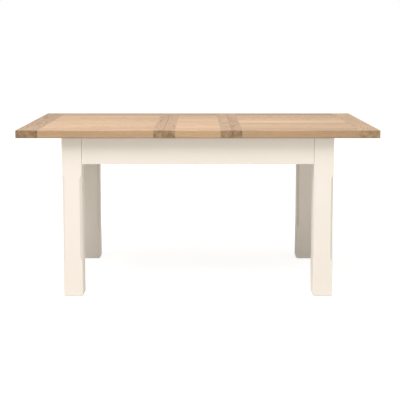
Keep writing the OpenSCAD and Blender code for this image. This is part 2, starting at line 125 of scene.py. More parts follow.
def skin(name, loops):
    """A closed surface through a stack of closed loops, which all have the same number of points.

    Neighbouring loops are joined by quads, and the first and the last are closed by a fan about
    their middle. If the volume that the faces enclose comes out negative, every face is turned.
    Points that coincide, as where a chamfer runs out to nothing, are merged at the end.
    """
    loops = np.asarray(loops)
    rows, count, _ = loops.shape
    points = np.vstack([loops.reshape(-1, 3), loops[0].mean(axis=0), loops[-1].mean(axis=0)])
    here = np.arange(count)
    after = np.roll(here, -1)
    base = (np.arange(rows - 1) * count)[:, None]
    quads = np.stack([base + here, base + after, base + after + count, base + here + count], axis=-1)
    first, last = rows * count, rows * count + 1
    top = (rows - 1) * count
    fans = np.vstack([
        np.stack([after, here, np.full(count, first)], axis=-1),
        np.stack([top + here, top + after, np.full(count, last)], axis=-1),
    ])
    quads = quads.reshape(-1, 4)
    corners = points[fans]
    sides = points[quads]
    volume = np.einsum("ij,ij->i", corners[:, 0], np.cross(corners[:, 1], corners[:, 2])).sum()
    for a, b in ((1, 2), (2, 3)):
        volume += np.einsum("ij,ij->i", sides[:, 0], np.cross(sides[:, a], sides[:, b])).sum()
    faces = quads.tolist() + fans.tolist()
    if volume < 0:
        faces = [face[::-1] for face in faces]
    mesh = bpy.data.meshes.new(name)
    mesh.from_pydata(points.tolist(), [], faces)
    form = bmesh.new()
    form.from_mesh(mesh)
    bmesh.ops.remove_doubles(form, verts=form.verts, dist=SAME_PLACE)
    form.to_mesh(mesh)
    form.free()
    mesh.update()
    return mesh


def piece(mesh, body, material, stands_for):
    """Puts a finished mesh in the scene as a piece that rides on a body in place of a CAD node."""
    mesh.shade_smooth()
    mesh.set_sharp_from_angle(angle=CREASE)
    thing = bpy.data.objects.new(mesh.name, mesh)
    bpy.context.collection.objects.link(thing)
    mesh.materials.append(material)
    evened = thing.modifiers.new("even_normals", "WEIGHTED_NORMAL")
    evened.keep_sharp = True
    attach(thing, body)
    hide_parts(stands_for)
    return thing


def solids(node):
    """The corner points of each separate solid in a CAD node.

    Corners that coincide are given one number, each triangle takes the lowest number that its
    corners hold, and that is repeated until nothing changes, so one solid shares one number.
    """
    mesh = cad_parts[node].data
    points = np.empty(len(mesh.vertices) * 3)
    mesh.vertices.foreach_get("co", points)
    points = points.reshape(-1, 3)
    mesh.calc_loop_triangles()
    triangles = np.empty(len(mesh.loop_triangles) * 3, dtype=int)
    mesh.loop_triangles.foreach_get("vertices", triangles)
    unique, number = np.unique(np.round(points, 5), axis=0, return_inverse=True)
    triangles = number.reshape(-1)[triangles].reshape(-1, 3)
    label = np.arange(len(unique))
    while True:
        lowest = label[triangles].min(axis=1)
        before = label.copy()
        for corner in range(3):
            np.minimum.at(label, triangles[:, corner], lowest)
        if (label == before).all():
            return [unique[label == value] for value in np.unique(label)]


def give_grain_and_shade(mesh, along, heart, start, tone):
    """Stores on a piece where it lay in its log, for the wood materials to read.

    wood is each point's place from the heart of the log, with X along the grain. tone is how pale
    the piece is. end_grain is how squarely each face cuts the grain, from 0 to 1. It also stores two
    masks for painted shade: how upright each face stands, and how far each face turns down.
    """
    points = np.empty(len(mesh.vertices) * 3)
    mesh.vertices.foreach_get("co", points)
    points = points.reshape(-1, 3)
    across = [k for k in range(3) if k != along]
    middle = (points.min(axis=0) + points.max(axis=0)) / 2
    wood = np.column_stack([points[:, along] + start, (points - middle)[:, across] - heart])
    mesh.attributes.new("wood", "FLOAT_VECTOR", "POINT").data.foreach_set("vector", wood.ravel())
    tones = np.full(len(points), tone)
    mesh.attributes.new("tone", "FLOAT", "POINT").data.foreach_set("value", tones)
    normals = np.empty(len(mesh.polygons) * 3)
    mesh.polygons.foreach_get("normal", normals)
    normals = normals.reshape(-1, 3)
    # Painted shade mask: how far each face turns down.
    under = np.maximum(-normals[:, 2], 0) ** 0.5
    mesh.attributes.new("underside", "FLOAT", "FACE").data.foreach_set("value", under)
    normals = np.abs(normals)
    mesh.attributes.new("end_grain", "FLOAT", "FACE").data.foreach_set("value", normals[:, along] ** 3)
    # Painted shade mask: how upright each face stands.
    level = np.hypot(normals[:, 0], normals[:, 1]) ** 3
    mesh.attributes.new("upright_painted_shade", "FLOAT", "FACE").data.foreach_set("value", level)


class Nodes:
    """A short way to write a node tree: add() makes a node, sets its options and joins its inputs."""

    def __init__(self, tree):
        self.tree = tree

    def add(self, kind, inputs=(), **options):
        node = self.tree.nodes.new(kind)
        for name, value in options.items():
            setattr(node, name, value)
        for key, value in dict(inputs).items():
            socket = node.inputs[key]
            if isinstance(value, bpy.types.NodeSocket):
                self.tree.links.new(value, socket)
            else:
                socket.default_value = value
        return node

    def math(self, operation, a, b=0.0, c=0.0, clamp=False):
        node = self.add("ShaderNodeMath", {0: a, 1: b, 2: c}, operation=operation, use_clamp=clamp)
        return node.outputs[0]

    def scaled(self, vector, scale):
        node = self.add("ShaderNodeVectorMath", {0: vector, 1: scale}, operation="MULTIPLY")
        return node.outputs[0]

    def noise(self, vector, scale, detail=2.0, roughness=0.5):
        node = self.add("ShaderNodeTexNoise",
                        {"Vector": vector, "Scale": scale, "Detail": detail, "Roughness": roughness})
        return node.outputs["Fac"]

    def ranged(self, value, low, high, to_low=0.0, to_high=1.0, smooth=True):
        node = self.add("ShaderNodeMapRange", {0: value, 1: low, 2: high, 3: to_low, 4: to_high},
                        interpolation_type="SMOOTHSTEP" if smooth else "LINEAR")
        return node.outputs[0]

    def mix(self, factor, a, b, blend="MIX"):
        node = self.add("ShaderNodeMix", {0: factor, 6: a, 7: b}, data_type="RGBA", blend_type=blend)
        return node.outputs[2]

    def multiplied(self, a, b):
        return self.mix(1.0, a, b, "MULTIPLY")

    def grey(self, value):
        return self.add("ShaderNodeCombineColor", {0: value, 1: value, 2: value}).outputs[0]

    def attribute(self, name, output="Vector"):
        return self.add("ShaderNodeAttribute", attribute_name=name).outputs[output]

    def bump(self, height, strength, depth):
        inputs = {"Strength": strength, "Distance": depth, "Height": height}
        return self.add("ShaderNodeBump", inputs).outputs[0]


def new_group(name, inputs, outputs):
    """A shader node group with the sockets that its two lists name.

    Gives its helper, and the sockets of its input and output nodes.
    """
    tree = bpy.data.node_groups.new(name, "ShaderNodeTree")
    for socket, kind in inputs:
        tree.interface.new_socket(socket, in_out="INPUT", socket_type="NodeSocket" + kind)
    for socket, kind in outputs:
        tree.interface.new_socket(socket, in_out="OUTPUT", socket_type="NodeSocket" + kind)
    n = Nodes(tree)
    return n, n.add("NodeGroupInput").outputs, n.add("NodeGroupOutput").inputs


def new_material(name):
    """An empty material with a Principled BSDF. Gives the material, its helper and the shader's inputs."""
    material = bpy.data.materials.new(name)
    material.use_nodes = True
    n = Nodes(material.node_tree)
    n.tree.nodes.clear()
    shader = n.add("ShaderNodeBsdfPrincipled")
    output = n.add("ShaderNodeOutputMaterial")
    n.tree.links.new(shader.outputs[0], output.inputs[0])
    return material, n, shader


def join(n, value, socket):
    """Links a node's output to an input."""
    n.tree.links.new(value, socket)


# How many times a metre each pattern changes, along the grain and across it. The rays' three
# numbers are along the grain, round the heart and out from it.
WANDER_SCALE = (2.1, 0.0, 0.0)
CURL_SCALE = (5.0, 26.0, 26.0)
PORE_SCALE = (70.0, 2300.0, 2300.0)
RAY_SCALE = (38.0, 95.0, 60.0)
FIBRE_SCALE = (5.0, 520.0, 520.0)
CLOUD_SCALE = (1.6, 11.0, 11.0)
WANDER_REACH = (0.0, 0.070, 0.070)
CURL_REACH = (0.0, 0.006, 0.006)
HALF = (0.5, 0.5, 0.5)


def figure_group():
    """Oak as a solid: growth rings about the heart, which wanders along the log, open pores in the
    spring wood, rays that run out from the heart, and fine fibre along the grain.

    A point is first moved across the grain by a slow noise and a finer one. Its distance from the
    heart over the ring width then counts the rings, and the fraction is its age in its own ring.
    """
    n, given, result = new_group(
        "oak_figure",
        [("Point", "Vector"), ("Ring Width", "Float")],
        [("Spring Wood", "Float"), ("Pores", "Float"), ("Rays", "Float"), ("Fibre", "Float"),
         ("Cloud", "Float")],
    )
    point = given["Point"]
    along = n.add("ShaderNodeSeparateXYZ", {0: point}).outputs
    bent = point
    for scale, reach in ((WANDER_SCALE, WANDER_REACH), (CURL_SCALE, CURL_REACH)):
        inputs = {"Vector": n.scaled(point, scale), "Scale": 1.0, "Detail": 2.0}
        drift = n.add("ShaderNodeTexNoise", inputs).outputs["Color"]
        drift = n.add("ShaderNodeVectorMath", {0: drift, 1: HALF}, operation="SUBTRACT").outputs[0]
        bent = n.add("ShaderNodeVectorMath", {0: drift, 1: reach, 2: bent},
                     operation="MULTIPLY_ADD").outputs[0]
    across = n.add("ShaderNodeSeparateXYZ", {0: bent}).outputs
    radius = n.math("SQRT", n.math("ADD", n.math("MULTIPLY", across[1], across[1]),
                                   n.math("MULTIPLY", across[2], across[2])))
    turn = n.math("ARCTAN2", across[2], across[1])
    ring = n.math("DIVIDE", radius, given["Ring Width"])
    age = n.math("FRACT", ring)
    strength = n.add("ShaderNodeTexWhiteNoise", {"W": n.math("FLOOR", ring)},
                     noise_dimensions="1D").outputs["Value"]
    opening = n.ranged(age, 0.0, 0.12)
    closing = n.ranged(age, 0.15, 0.75, 1.0, 0.0)
    strength = n.ranged(strength, 0.0, 1.0, 0.45, 1.0)
    spring = n.math("MULTIPLY", n.math("MULTIPLY", opening, closing), strength)
    pore_noise = n.noise(n.scaled(bent, PORE_SCALE), 1.0, 1.0, 0.4)
    pores = n.math("MULTIPLY", n.ranged(pore_noise, 0.56, 0.66),
                   n.math("MULTIPLY_ADD", spring, 0.85, 0.15))
    spokes = n.add("ShaderNodeCombineXYZ", {0: along[0], 1: turn, 2: radius}).outputs[0]
    rays = n.ranged(n.noise(n.scaled(spokes, RAY_SCALE), 1.0, 1.0, 0.5), 0.60, 0.72)
    fibre = n.noise(n.scaled(bent, FIBRE_SCALE), 1.0, 3.0, 0.65)
    cloud = n.noise(n.scaled(bent, CLOUD_SCALE), 1.0, 2.0, 0.5)
    join(n, spring, result["Spring Wood"])
    join(n, pores, result["Pores"])
    join(n, rays, result["Rays"])
    join(n, fibre, result["Fibre"])
    join(n, cloud, result["Cloud"])
    return n.tree


OAK_SUMMER = (0.565, 0.390, 0.240, 1.0)
OAK_SPRING = (0.385, 0.232, 0.122, 1.0)
OAK_PORE = (0.180, 0.105, 0.055, 1.0)
OAK_RAY = (0.720, 0.535, 0.370, 1.0)
OAK_END = (0.720, 0.710, 0.670, 1.0)
# Painted shade: upright faces are multiplied by this colour, so they come out a little darker than the top.
OAK_UPRIGHT_SHADE = (0.930, 0.900, 0.880, 1.0)
# Painted shade: faces turned down are multiplied by this colour, darkest on the underside and the lower
# round of the edge.
OAK_SHADE_BELOW = (0.420, 0.365, 0.320, 1.0)
RAY_STRENGTH = 0.22
FIBRE_SHADES = (0.84, 1.16)
CLOUD_SHADES = (0.88, 1.12)
END_PATCH_SCALE = (0.0, 38.0, 38.0)
END_PATCH_SHADES = (0.72, 1.24)
LACQUER_ROUGHNESS = 0.50
LACQUER_SHINE = 0.22
GRAIN_DEPTH = 0.0002
oak_figure = figure_group()


def oak_material(name, ring_width, ring_strength, pore_strength):
    """Planed oak under a satin lacquer. Paler summer wood, browner spring wood with open pores."""
    material, n, shader = new_material(name)
    figure = n.add("ShaderNodeGroup", node_tree=oak_figure)
    join(n, n.attribute("wood"), figure.inputs["Point"])
    figure.inputs["Ring Width"].default_value = ring_width
    out = figure.outputs
    colour = n.mix(n.math("MULTIPLY", out["Spring Wood"], ring_strength), OAK_SUMMER, OAK_SPRING)
    colour = n.mix(n.math("MULTIPLY", out["Rays"], RAY_STRENGTH), colour, OAK_RAY)
    fibre = n.ranged(out["Fibre"], 0.25, 0.75, *FIBRE_SHADES, smooth=False)
    cloud = n.ranged(out["Cloud"], 0.25, 0.75, *CLOUD_SHADES, smooth=False)
    shade = n.math("MULTIPLY", n.math("MULTIPLY", fibre, cloud), n.attribute("tone", "Fac"))
    colour = n.multiplied(colour, n.grey(shade))
    colour = n.mix(n.math("MULTIPLY", out["Pores"], pore_strength), colour, OAK_PORE)
    end = n.attribute("end_grain", "Fac")
    # Painted shade: upright faces, apart from end grain, are darkened a little against the top.
    edge = n.math("MULTIPLY", n.attribute("upright_painted_shade", "Fac"), n.math("SUBTRACT", 1.0, end))
    colour = n.mix(edge, colour, n.multiplied(colour, OAK_UPRIGHT_SHADE))
    patch = n.noise(n.scaled(n.attribute("wood"), END_PATCH_SCALE), 1.0, 2.0)
    patch = n.grey(n.ranged(patch, 0.3, 0.7, *END_PATCH_SHADES))
    colour = n.mix(end, colour, n.multiplied(n.multiplied(colour, OAK_END), patch))
    # Painted shade: faces that turn down are darkened, the more the further they face down.
    colour = n.mix(n.attribute("underside", "Fac"), colour, n.multiplied(colour, OAK_SHADE_BELOW))
    join(n, colour, shader.inputs["Base Color"])
    rough = n.math("MULTIPLY_ADD", out["Pores"], 0.20, LACQUER_ROUGHNESS)
    rough = n.math("MULTIPLY_ADD", out["Fibre"], 0.08, rough)
    join(n, rough, shader.inputs["Roughness"])
    height = n.math("SUBTRACT", n.math("MULTIPLY", out["Fibre"], 0.25), out["Pores"])
    join(n, n.bump(height, 0.35, GRAIN_DEPTH), shader.inputs["Normal"])
    shader.inputs["Specular IOR Level"].default_value = LACQUER_SHINE
    return material


board_oak = oak_material("oak_boards", ring_width=0.0036, ring_strength=0.68, pore_strength=0.55)
board_choice = np.random.default_rng(36)


HEART_NEAR, HEART_FAR = 0.06, 0.19
HEART_LEAN = 0.55
LOG_REACH = 40


def heart_of(choice):
    """Where the heart of the log lay beside a board: mostly above or below it, and some way off."""
    distance = choice.uniform(HEART_NEAR, HEART_FAR)
    lean = choice.normal(0.0, HEART_LEAN)
    above = choice.choice([-1, 1])
    return np.array([distance * math.sin(lean), distance * math.cos(lean) * above])


def make_board(name, body, node, corners, left_end, right_end, paleness):
    """One board: its section carried along X, stepped down to the tongue at both ends."""
    low, high = corners.min(axis=0), corners.max(axis=0)
    tip = corners[corners[:, 0] < low[0] + 0.0005]
    tongue = rectangle_loop(tip.min(axis=0)[1:], tip.max(axis=0)[1:], [TONGUE_ROUND] * 4)
    front = OUTER_ROUND if low[1] < table_low[1] + 0.001 else JOINT_ROUND
    back = OUTER_ROUND if high[1] > table_high[1] - 0.001 else JOINT_ROUND
    radii = np.array([back, front, front, back])
    face = rectangle_loop(low[1:], high[1:], radii)
    ease = JOINT_ROUND * 0.6
    eased = rectangle_loop(low[1:] + ease, high[1:] - ease, radii - ease)
    loops = [
        carried(tongue, 0, low[0]), carried(tongue, 0, left_end),
        carried(eased, 0, left_end), carried(face, 0, left_end + JOINT_ROUND),
        carried(face, 0, right_end - JOINT_ROUND), carried(eased, 0, right_end),
        carried(tongue, 0, right_end), carried(tongue, 0, high[0]),
    ]
    mesh = skin(name, loops)
    give_grain_and_shade(mesh, 0, heart_of(board_choice), board_choice.uniform(0, LOG_REACH), paleness)
    return piece(mesh, body, board_oak, node)


# Each panel's body, the clamps at its two ends, and how pale its boards are on the whole. The
# boards at the front have their own tones. The two at the back are darkened as painted shade along
# the back edge of the top.
PANELS = {
    "left": ("left_top", "left_end_clamp", "left_seam_clamp", 0.94),
    "leaf": ("leaf", "leaf_left_clamp", "leaf_right_clamp", 1.03),
    "right": ("right_top", "right_seam_clamp", "right_end_clamp", 0.99),
}
FRONT_TONE = {"left": 0.90, "leaf": 0.99, "right": 0.83}
BACK_SHADE_TONES = (0.85, 0.67)
TONE_SPREAD = 0.055
for panel, (body, left_clamp, right_clamp, panel_tone) in PANELS.items():
    boards = sorted(solids(panel + "_boards"), key=lambda corners: corners[:, 1].min())
    for number, corners in enumerate(boards, start=1):
        paleness = panel_tone * board_choice.normal(1.0, TONE_SPREAD)
        if number == 1:
            paleness = FRONT_TONE[panel]
        # Painted shade: the last two boards are made darker towards the back edge of the top.
        if number > len(boards) - len(BACK_SHADE_TONES):
            paleness = BACK_SHADE_TONES[number - len(boards) - 1]
        make_board(f"{panel}_board_{number}", body, panel + "_boards", corners,
                   cad[left_clamp][1][0], cad[right_clamp][0][0], paleness)


# ---- Oak clamps ----
# A clamp lies across the ends of the boards of each panel and keeps it flat. Its grain runs front
# to back, so its end grain shows at the front edge of the table.

CORNER_ROUND = 0.006
SEAM_ROUND = 0.0013
LEAST_ROUND = 0.00005
LEFT_OF_SEAM = ("left_seam_clamp", "leaf_right_clamp")
RIGHT_OF_SEAM = ("right_seam_clamp", "leaf_left_clamp")
clamp_oak = oak_material("oak_clamps", ring_width=0.0042, ring_strength=0.85, pore_strength=0.80)
clamp_choice = np.random.default_rng(412)


def make_clamp(node, body, outer, paleness):
    """One clamp: its section carried along Y. outer is -1, 0 or 1: which side is the table's end.

    Near both ends the section draws in by the round of the edge, and on its outer side by the
    round of the table's corner too. Both are quarter circles.
    """
    low, high = cad[node]
    turns = np.linspace(0.0, math.pi / 2, ARC_STEPS + 2)
    depth = np.concatenate([OUTER_ROUND * (1 - np.cos(turns)), [CORNER_ROUND]])
    depth = np.unique(np.concatenate([depth, CORNER_ROUND * (1 - np.cos(turns))]).round(6))
    edge_left = np.maximum(OUTER_ROUND - depth, 0)
    edge_in = OUTER_ROUND - np.sqrt(np.maximum(OUTER_ROUND**2 - edge_left**2, 0))
    plan_in = CORNER_ROUND - np.sqrt(np.maximum(CORNER_ROUND**2 - (CORNER_ROUND - depth) ** 2, 0))
    left = OUTER_ROUND if outer < 0 else (SEAM_ROUND if node in RIGHT_OF_SEAM else JOINT_ROUND)
    right = OUTER_ROUND if outer > 0 else (SEAM_ROUND if node in LEFT_OF_SEAM else JOINT_ROUND)

    def section(edge, plan):
        bottom = np.array([low[0] + (plan if outer < 0 else 0), low[2] + edge])
        top = np.array([high[0] - (plan if outer > 0 else 0), high[2] - edge])
        radii = np.maximum(np.array([right, left, left, right]) - edge, LEAST_ROUND)
        return rectangle_loop(bottom, top, radii)

    start = [carried(section(e, p), 1, low[1] + d) for d, e, p in zip(depth, edge_in, plan_in)]
    end = [carried(section(e, p), 1, high[1] - d) for d, e, p in zip(depth, edge_in, plan_in)]
    mesh = skin(node + "_oak", start + end[::-1])
    give_grain_and_shade(mesh, 1, heart_of(clamp_choice), clamp_choice.uniform(0, LOG_REACH), paleness)
    return piece(mesh, body, clamp_oak, node)


make_clamp("left_end_clamp", "left_top", -1, 0.70)
make_clamp("left_seam_clamp", "left_top", 0, 0.75)
make_clamp("leaf_left_clamp", "leaf", 0, 0.79)
make_clamp("leaf_right_clamp", "leaf", 0, 0.83)
make_clamp("right_seam_clamp", "right_top", 0, 0.78)
make_clamp("right_end_clamp", "right_top", 1, 0.95)


# ---- Painted legs ----
# Each leg is a 90 mm square post with a stopped chamfer on all four corners, primed and painted
# cream in an eggshell finish. Its inner corner has a flat at the top where the corner block bears.

CHAMFER = 0.010
CHAMFER_LOW = 0.164
CHAMFER_SHOULDER = 0.047
RUN_OUT = 0.020
ARRIS = 0.0016
FOOT_BEVEL = 0.0025
BLOCK_FLAT = 0.008 * math.sqrt(2)
CREAM = (0.855, 0.790, 0.720, 1.0)
CREAM_THIN = (0.790, 0.710, 0.615, 1.0)
BRUSH_SCALE = (7.0, 900.0, 900.0)
UNDER_PAINT_SCALE = (3.0, 160.0, 160.0)
PAINT_SHINE = 0.4
PAINT_DEPTH = 0.00025


def paint_material():
    """Eggshell paint over primed wood: an even cream with a faint brushed grain and fine stipple."""
    material, n, shader = new_material("cream_eggshell")
    point = n.attribute("wood")
    brush = n.noise(n.scaled(point, BRUSH_SCALE), 1.0, 3.0, 0.6)
    stipple = n.noise(point, 1400.0, 2.0, 0.5)
    drift = n.noise(point, 6.0, 2.0, 0.5)
    grain = n.noise(n.scaled(point, UNDER_PAINT_SCALE), 1.0, 2.0, 0.5)
    tint = n.ranged(drift, 0.3, 0.7, 0.0, 0.10, smooth=False)
    tint = n.math("MULTIPLY_ADD", n.ranged(brush, 0.35, 0.75), 0.06, tint)
    join(n, n.mix(tint, CREAM, CREAM_THIN), shader.inputs["Base Color"])
    join(n, n.ranged(brush, 0.2, 0.8, 0.40, 0.54, smooth=False), shader.inputs["Roughness"])
    height = n.math("MULTIPLY_ADD", stipple, 0.35, n.math("MULTIPLY_ADD", grain, 0.8, brush))
    join(n, n.bump(height, 0.25, PAINT_DEPTH), shader.inputs["Normal"])
    shader.inputs["Specular IOR Level"].default_value = PAINT_SHINE
    return material


cream_paint = paint_material()
paint_choice = np.random.default_rng(7)


def post_section(low, high, chamfers, arris):
    """A rectangle with a chamfer on each corner and every arris rounded, as one closed loop.

    The rounding is a small circle rolled round the outline: at each end of a chamfer it turns
    through 45 degrees, and where a chamfer is nothing the two turns make one quarter circle.
    """
    steps = np.linspace(0.0, math.pi / 4, 4)
    loop = []
    for k, (toward_x, toward_y) in enumerate([(1, 1), (-1, 1), (-1, -1), (1, -1)]):
        corner = np.array([high[0] if toward_x > 0 else low[0], high[1] if toward_y > 0 else low[1]])
        centre = corner - arris * np.array([toward_x, toward_y])
        ends = [centre - chamfers[k] * np.array([0, toward_y]),
                centre - chamfers[k] * np.array([toward_x, 0])]
        if toward_x * toward_y < 0:
            ends.reverse()
        for part, end in enumerate(ends):
            angle = steps + (2 * k + part) * math.pi / 4
            loop.append(end + arris * np.column_stack([np.cos(angle), np.sin(angle)]))
    return np.vstack(loop)


def make_leg(node):
    """One leg: its section carried up Z, with the width of each chamfer set by the height."""
    low, high = cad[node]
    apron = cad["apron_front"][0][2]
    chamfer_high = apron - CHAMFER_SHOULDER
    inward = -np.sign((low + high)[:2])
    inner = [(1, 1), (-1, 1), (-1, -1), (1, -1)].index(tuple(int(v) for v in inward))
    stops = np.array([CHAMFER_LOW, CHAMFER_LOW + RUN_OUT, chamfer_high - RUN_OUT, chamfer_high])
    rise = np.array([0.0, CHAMFER, CHAMFER, 0.0])
    heights = np.concatenate([[low[2], low[2] + FOOT_BEVEL], stops, [apron - 0.0002, apron, high[2]]])
    loops = []
    for place, height in enumerate(heights):
        width = np.full(4, np.interp(height, stops, rise, left=0.0, right=0.0))
        if place >= len(heights) - 2:
            width[inner] = BLOCK_FLAT
        inset = FOOT_BEVEL if place == 0 else 0.0
        loop = post_section(low[:2] + inset, high[:2] - inset, width, ARRIS)
        loops.append(carried(loop, 2, height))
    mesh = skin(node + "_painted", loops)
    give_grain_and_shade(mesh, 2, paint_choice.uniform(-0.2, 0.2, 2), paint_choice.uniform(0, 20), 1.0)
    return piece(mesh, "frame", cream_paint, node)


for node in ("leg_front_left", "leg_front_right", "leg_back_left", "leg_back_right"):
    make_leg(node)


# ---- Painted aprons ----
# Four aprons of 22 mm board join the legs, with a stub tenon on each end. Their faces lie 3 mm
# behind the legs, and their lower edges are bevelled. They are painted with the legs.

APRON_BEVEL = 0.002
APRON_ARRIS = 0.0008
TENON_SHOULDER = 0.014
TENON_HALF = 0.005
JOINT_LINE = 0.0010


def make_apron(node, along, left_leg, right_leg):
    """One apron: its section carried along its length between two legs, stepped down to its tenons."""
    low, high = cad[node]
    across = 1 - along
    start, end = cad[left_leg][1][along] + JOINT_LINE, cad[right_leg][0][along] - JOINT_LINE
    bottom, top = low[[across, 2]], high[[across, 2]]
    middle = (bottom[0] + top[0]) / 2
    face = post_section(bottom, top, [0.0, 0.0, APRON_BEVEL, APRON_BEVEL], APRON_ARRIS)
    tenon = post_section(
        np.array([middle - TENON_HALF, bottom[1] + TENON_SHOULDER]),
        np.array([middle + TENON_HALF, top[1] - TENON_SHOULDER]), [0.0] * 4, APRON_ARRIS)
    loops = [carried(tenon, along, low[along]), carried(tenon, along, start), carried(face, along, start),
             carried(face, along, end), carried(tenon, along, end), carried(tenon, along, high[along])]
    mesh = skin(node + "_painted", loops)
    give_grain_and_shade(mesh, along, paint_choice.uniform(-0.2, 0.2, 2), paint_choice.uniform(0, 20), 1.0)
    return piece(mesh, "frame", cream_paint, node)


make_apron("apron_front", 0, "leg_front_left", "leg_front_right")
make_apron("apron_back", 0, "leg_back_left", "leg_back_right")
make_apron("apron_left", 1, "leg_front_left", "leg_back_left")
make_apron("apron_right", 1, "leg_front_right", "leg_back_right")


# ---- Beech rails, sliders, bearers, battens, blocks and pegs ----
# The working parts under the top are plain planed beech, unfinished. Beech is even and pinkish,
# with short dark flecks where its rays are cut.

BEECH_PALE = (0.600, 0.400, 0.240, 1.0)
BEECH_DARK = (0.470, 0.285, 0.155, 1.0)
BEECH_FLECK = (0.300, 0.160, 0.080, 1.0)


def beech_material(name, turn):
    """Bare planed beech, with the grain along X once the Mapping node has turned the piece."""
    material, n, shader = new_material(name)
    place = n.add("ShaderNodeTexCoord").outputs["Object"]
    point = n.add("ShaderNodeMapping", {"Vector": place, "Rotation": turn}).outputs[0]
    fibre = n.noise(n.scaled(point, (4.0, 330.0, 330.0)), 1.0, 3.0, 0.6)
    cloud = n.noise(n.scaled(point, (2.0, 30.0, 30.0)), 1.0, 2.0, 0.5)
    fleck = n.ranged(n.noise(n.scaled(point, (150.0, 1300.0, 1300.0)), 1.0, 1.0, 0.4), 0.60, 0.66)
    colour = n.mix(n.ranged(fibre, 0.25, 0.75), BEECH_PALE, BEECH_DARK)
    colour = n.mix(n.ranged(cloud, 0.3, 0.7, 0.0, 0.3), colour, BEECH_DARK)
    colour = n.mix(n.math("MULTIPLY", fleck, 0.6), colour, BEECH_FLECK)
    join(n, colour, shader.inputs["Base Color"])
    join(n, n.ranged(fibre, 0.2, 0.8, 0.55, 0.72, smooth=False), shader.inputs["Roughness"])
    join(n, n.bump(fibre, strength=0.3, depth=0.0002), shader.inputs["Normal"])
    return material


beech_lengthways = beech_material("beech_lengthways", (0.0, 0.0, 0.0))
beech_crossways = beech_material("beech_crossways", (0.0, 0.0, math.pi / 2))
beech_upright = beech_material("beech_upright", (0.0, math.pi / 2, 0.0))


def dress(node, material):
    """Gives a CAD node that keeps its own shape its material."""
    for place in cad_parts[node].material_slots:
        place.material = material


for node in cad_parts:
    lengthways = node.startswith("guide_rail_") or "_slider_" in node
    if lengthways and not node.endswith("screws"):
        dress(node, beech_lengthways)
    elif node.startswith(("cross_bearer", "corner_block")) or node.endswith("_batten"):
        dress(node, beech_crossways)
dress("leaf_pegs", beech_upright)


# ---- Screws, bolts, nuts and washers ----
# Bright zinc-plated steel. The wood screws have pan heads with a cross recess, and the hanger bolts
# have an M8 thread where they stand out of the corner blocks, with a washer and a hexagon nut.

ZINC = (0.560, 0.560, 0.540, 1.0)
ZINC_DULL = (0.330, 0.330, 0.320, 1.0)
THREAD_PITCH = 0.00125
THREAD_DEPTH = 0.0007
THREAD_LENGTH = 0.020
WASHER_BORE = 0.0043
WASHER_ROUND = 0.0005
NUT_BORE = 0.0041
AROUND = 24
NEAR = 0.0005


def steel_material():
    """Zinc plate: bright steel that clouds to a duller, rougher grey in patches."""
    material, n, shader = new_material("zinc_plate")
    place = n.add("ShaderNodeTexCoord").outputs["Object"]
    cloud = n.noise(place, 240.0, 3.0, 0.6)
    join(n, n.mix(n.ranged(cloud, 0.3, 0.7), ZINC, ZINC_DULL), shader.inputs["Base Color"])
    join(n, n.ranged(cloud, 0.2, 0.8, 0.26, 0.48, smooth=False), shader.inputs["Roughness"])
    shader.inputs["Metallic"].default_value = 1.0
    return material


zinc = steel_material()


def basis(direction):
    """Two unit vectors square to a direction and to each other."""
    direction = np.asarray(direction, float)
    helper = np.array([0.0, 0.0, 1.0]) if abs(direction[2]) < 0.9 else np.array([1.0, 0.0, 0.0])
    side = np.cross(helper, direction)
    side /= np.linalg.norm(side)
    return side, np.cross(direction, side)


def turned(centre, direction, radius, height):
    """Loops about an axis: at each height along the direction, a ring whose radius may vary around.

    radius is an array of rows by points round, and height has one value for each row.
    """
    side, up = basis(direction)
    angle = np.linspace(0, 2 * math.pi, radius.shape[1], endpoint=False)
    ring = np.cos(angle)[:, None] * side + np.sin(angle)[:, None] * up
    return centre + radius[..., None] * ring + np.asarray(height)[:, None, None] * np.asarray(direction)


def merged(name, meshes):
    """One mesh from several: their points in one row, and their faces numbered on from each other."""
    points, faces, total = [], [], 0
    for mesh in meshes:
        places = np.empty(len(mesh.vertices) * 3)
        mesh.vertices.foreach_get("co", places)
        corners = np.empty(len(mesh.loops), dtype=int)
        mesh.loops.foreach_get("vertex_index", corners)
        sizes = np.empty(len(mesh.polygons), dtype=int)
        mesh.polygons.foreach_get("loop_total", sizes)
        points.append(places.reshape(-1, 3))
        faces += [face.tolist() for face in np.split(corners + total, np.cumsum(sizes)[:-1])]
        total += len(mesh.vertices)
        bpy.data.meshes.remove(mesh)
    mesh = bpy.data.meshes.new(name)
    mesh.from_pydata(np.vstack(points).tolist(), [], faces)
    mesh.update()
    return mesh


